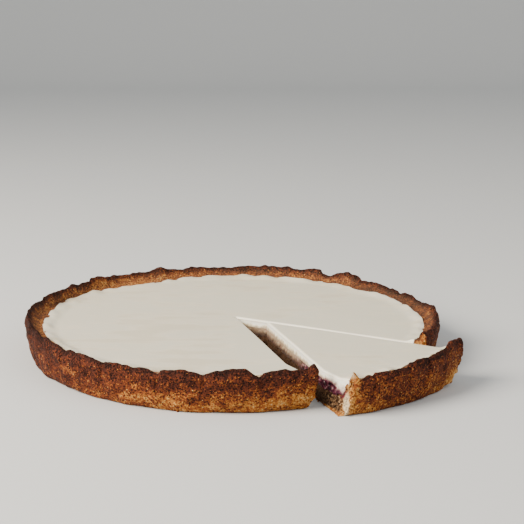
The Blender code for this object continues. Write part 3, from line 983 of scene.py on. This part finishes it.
def makeCutBerries(name, part, material):
    rng = random.Random(berries["seed"])
    form = bmesh.new()
    middle = (dish["floorThickness"] + dish["berryTop"]) / 2
    pitch, closest, farthest = berries["pitch"]
    proud, least, most = berries["proud"]
    dentSize, dentDepth = berries["dent"]
    for turn, side in ((part["start"], -1.0), (part["end"], 1.0)):
        place, runEnd = berries["run"]
        while place < runEnd:
            radius = rng.uniform(*berries["radius"])
            inset = radius - proud * rng.uniform(least, most)
            spot = spotOf(part, turn, place, middle)[0]
            along = (spotOf(part, turn, place + 0.001, middle)[0] - spot).normalized()
            centre = spot - Vector((-along.y, along.x, 0.0)) * side * inset
            centre.z = middle + rng.uniform(-1.0, 1.0) * berries["scatter"]
            for vert in makeGrain(form, rng, centre, radius, berries["shape"], 3):
                dent = noise.noise(vert.co / dentSize) * dentDepth
                vert.co += (vert.co - centre).normalized() * dent
            place += pitch * rng.uniform(closest, farthest)
    keepPiece(name, form, material, [], part["move"])


# Lingonberries baked in their juice: thin dark skins over wet pulp with a soft shine; the colour is near
# black in the hollows as painted shade, and pale on the raised pulp, partly torn open pulp and partly a
# painted highlight
berryFinish = {
    "shader": {
        "IOR": 1.40,
        "Subsurface Weight": 0.15, "Subsurface Radius": (1, 0.2, 0.3), "Subsurface Scale": 0.0015,
    },
    "flesh": (0.0032, 4, 0.6),  # size, detail and roughness
    "fruit": ((0.34, "#12040B"), (0.46, "#2E0D1A"), (0.56, "#5A2434"), (0.67, "#B08C90")),
    "dragged": ((0.00, "#48342C"), (0.35, "#665044"), (0.65, "#7E6955"), (1.00, "#968069")),
    "drag": (0.066, 0.092),  # how far from the dragged place the fruit is bare again
    "dull": (0.9, 0.32),  # roughness in the dragged place, and of the bare fruit
    "bump": {"Strength": 0.4, "Distance": 0.0005},
}


def berryMaterial():
    finish = berryFinish
    material, shader, add = newMaterial("baked lingonberry", finish["shader"])
    place = add("TexCoord").outputs["Object"]
    flesh = add("TexNoise", noiseOf(*finish["flesh"]), {"Vector": place})
    # dark in the hollows and pale on the raised pulp, as the bump has them: painted shade and painted
    # highlight
    fruit = add("ValToRGB", {"stops": finish["fruit"]}, {"Fac": flesh})
    # towards the middle of the pie the knife has dragged crumb and cream over the fruit, palest at its top
    # and darker low down, partly as painted shade of the gap
    height = add("SeparateXYZ", None, {"Vector": place}).outputs["Z"]
    raised = add("MapRange", spanOf(dish["floorThickness"], dish["berryTop"], -0.5, 0.5), {"Value": height})
    raised = add("Math", {"operation": "ADD"}, {0: raised, 1: flesh})
    dragged = add("ValToRGB", {"stops": finish["dragged"]}, {"Fac": raised})
    reached = dragShare(add, place, finish["drag"])
    tone = add("Mix", {"data_type": "RGBA"}, {"Factor": reached, "A": dragged, "B": fruit})
    dull = add("MapRange", spanOf(0.0, 1.0, *finish["dull"]), {"Value": reached})
    bump = add("Bump", finish["bump"], {"Height": flesh})
    linkUp(shader, {"Base Color": tone, "Roughness": dull, "Normal": bump})
    return material


# Stage: a pale floor that curves up behind the pie, a window on the left and a soft sky

stage = {
    "halfWidth": 4, "front": -2.5, "back": 2.6, "rise": 2.6, "curve": 1, "curveSteps": 16,
    "shader": {"Base Color": linear("#C8CBCD"), "Roughness": 0.8},
}


def makeStage():
    form = bmesh.new()
    points = [Vector((0.0, stage["front"], 0.0))]
    for i in range(stage["curveSteps"] + 1):
        turn = math.pi / 2 * i / stage["curveSteps"]
        points.append(Vector((0.0, stage["back"] + stage["curve"] * math.sin(turn),
                              stage["curve"] * (1 - math.cos(turn)))))
    points.append(Vector((0.0, stage["back"] + stage["curve"], stage["rise"])))
    verts = [form.verts.new(point - Vector((stage["halfWidth"], 0.0, 0.0))) for point in points]
    edges = [form.edges.new(pair) for pair in zip(verts, verts[1:])]
    swept = bmesh.ops.extrude_edge_only(form, edges=edges)["geom"]
    moved = [item for item in swept if isinstance(item, bmesh.types.BMVert)]
    bmesh.ops.translate(form, verts=moved, vec=(2 * stage["halfWidth"], 0.0, 0.0))
    bmesh.ops.recalc_face_normals(form, faces=form.faces[:])
    addMesh("stage", form, newMaterial("matt pale paint", stage["shader"])[0])


light = {
    # place, size, watts, colour
    "window": ((-1.12, -0.60, 0.92), 1, 62.5, "#FFF3E2"),
    "room": ((0.95, -0.70, 0.90), 1.2, 6.2, "#FFF9F0"),
    "sky": ("#F2F1EE", 0.75),
}


def makeLight():
    for name in ("window", "room"):
        place, size, watts, tone = light[name]
        lamp = bpy.data.lights.new(name, "AREA")
        lamp.shape = "DISK"
        lamp.size = size
        lamp.energy = watts
        lamp.color = linear(tone)[:3]
        holder = addObject(name, lamp)
        holder.location = place
        holder.rotation_euler = (-Vector(place)).to_track_quat("-Z", "Y").to_euler()
    world = bpy.data.worlds.new("sky")
    world.use_nodes = True
    tone, strength = light["sky"]
    background = world.node_tree.nodes["Background"]
    background.inputs["Color"].default_value = linear(tone)
    background.inputs["Strength"].default_value = strength
    bpy.context.scene.world = world


camera = {"place": (0.0182, -0.7498, 0.2210), "tilt": 77.82, "sensor": 36.0, "focal": 80.4}


def makeCamera():
    lens = bpy.data.cameras.new("camera")
    lens.sensor_width = camera["sensor"]
    lens.lens = camera["focal"]
    holder = addObject("camera", lens)
    holder.location = camera["place"]
    holder.rotation_euler = (math.radians(camera["tilt"]), 0.0, 0.0)
    bpy.context.scene.camera = holder


makeCamera()
makeStage()
makeLight()
print("stage, light and camera are set")

pastry = crustMaterial()
jam = berryMaterial()
sourCream = creamMaterial()
print("pastry, jam and cream are mixed")

for partName, part in parts.items():
    crustNode = partName + "_crust"
    makeCrust(partName + "CrustWall", part, crust[partName + "Wall"], wallShape, True, pastry, crustNode)
    makeCrust(partName + "CrustFloor", part, crust[partName + "Floor"], floorShape, False, pastry, crustNode)
    makeBerryLayer(partName + "Berries", part, berries[partName], jam, partName + "_berries")
    makeCutBerries(partName + "CutBerries", part, jam)
    makeCream(partName + "Cream", part, cream[partName], sourCream, partName + "_cream")
makeCrumbs(pastry)
print("pie and slice are made")
